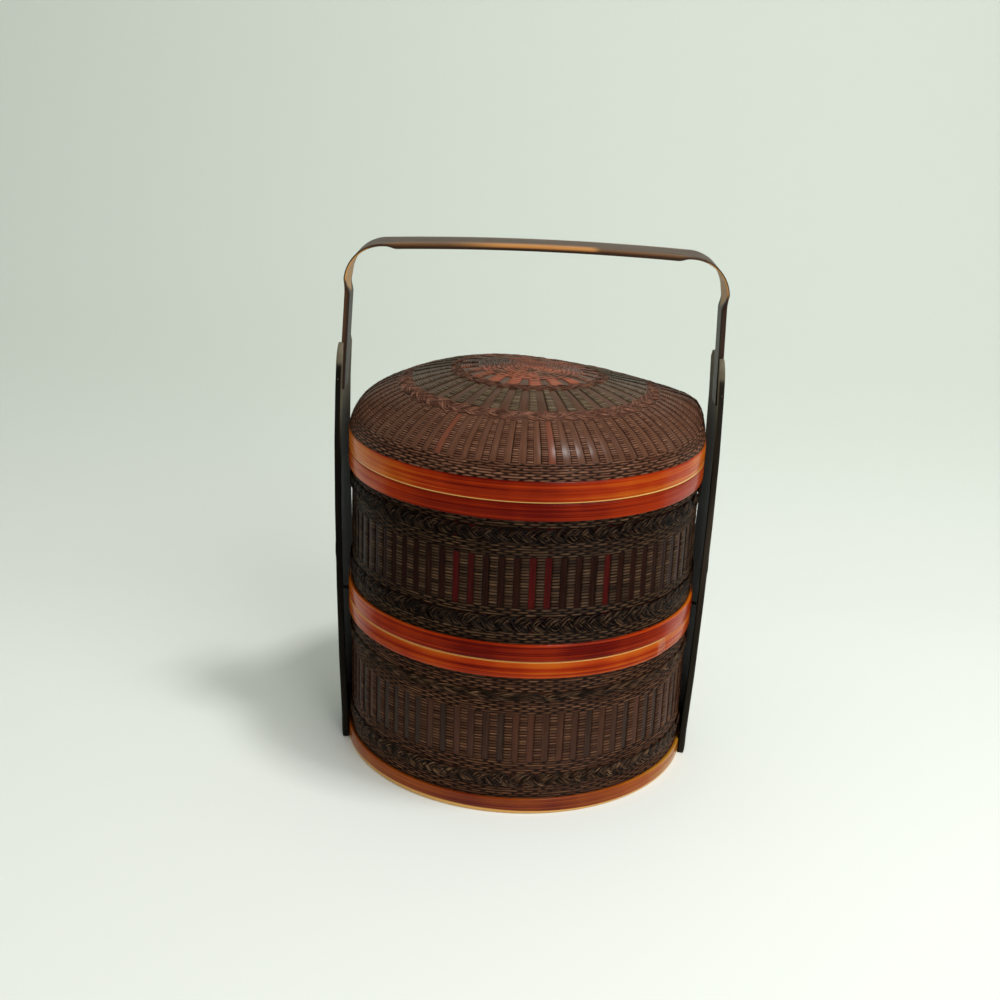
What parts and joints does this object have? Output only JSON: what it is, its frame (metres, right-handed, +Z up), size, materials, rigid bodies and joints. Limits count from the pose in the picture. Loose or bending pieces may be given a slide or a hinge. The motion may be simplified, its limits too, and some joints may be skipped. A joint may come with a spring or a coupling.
{
  "type": "tiered food basket",
  "caption": "Round stacked bamboo food basket with hooped woven tiers, a domed lid, forked side posts and an arched carrying handle.",
  "frame": {"origin": "centre of the base, on the plane that the foot hoop and the posts stand on", "axes": "+Z up, +X along the handle from the left post to the right post, -Y towards the front"},
  "size_m": [0.3036, 0.2814, 0.4083],
  "materials": {
    "hoop_lacquer": "glossy amber and red lacquer over bamboo with long grain streaks",
    "dark_weave": "dark brown-black satin weave of fine bamboo splints",
    "dark_braid": "dark satin braid of fine splints",
    "lid_weave": "dark reddish-brown satin weave",
    "inner_bamboo": "bare aged bamboo, matt",
    "floor_weave": "plain woven bamboo, matt",
    "post_bamboo": "dark stained bamboo with an olive-grey sheen",
    "handle_bamboo": "dark stained bamboo, worn to amber at the grip and bare inside the bends",
    "peg_bamboo": "dark stained bamboo pegs"
  },
  "bodies": {
    "lower_tier": {"lower_tier_wall": "dark_weave", "lower_tier_floor": "floor_weave", "lower_tier_foot_hoop": "hoop_lacquer", "lower_tier_foot_ring": "inner_bamboo", "lower_tier_rim_hoop": "hoop_lacquer", "lower_tier_collar": "inner_bamboo", "lower_tier_upper_braid": "dark_braid", "lower_tier_lower_braid": "dark_braid", "lower_tier_batten_1": "inner_bamboo", "lower_tier_batten_2": "inner_bamboo", "left_post": "post_bamboo", "right_post": "post_bamboo", "handle_strip": "handle_bamboo", "left_leg_peg": "peg_bamboo", "right_leg_peg": "peg_bamboo", "left_foot_peg": "peg_bamboo", "right_foot_peg": "peg_bamboo", "left_rim_peg": "peg_bamboo", "right_rim_peg": "peg_bamboo"},
    "upper_tier": {"upper_tier_wall": "dark_weave", "upper_tier_floor": "floor_weave", "upper_tier_foot_hoop": "hoop_lacquer", "upper_tier_foot_ring": "inner_bamboo", "upper_tier_rim_hoop": "hoop_lacquer", "upper_tier_collar": "inner_bamboo", "upper_tier_upper_braid": "dark_braid", "upper_tier_lower_braid": "dark_braid", "upper_tier_batten_1": "inner_bamboo", "upper_tier_batten_2": "inner_bamboo"},
    "lid": {"lid_dome": "lid_weave", "lid_rim_hoop": "hoop_lacquer", "lid_inner_ring": "inner_bamboo", "lid_crown_braid": "dark_braid", "lid_outer_braid": "dark_braid"}
  },
  "joints": [
    {"name": "upper_tier_lift", "type": "slide", "parent": "lower_tier", "child": "upper_tier", "axis": [0, 0, 1], "range_m": [0, 0.034]},
    {"name": "lid_lift", "type": "slide", "parent": "upper_tier", "child": "lid", "axis": [0, 0, 1], "range_m": [0, 0.048]}
  ]
}
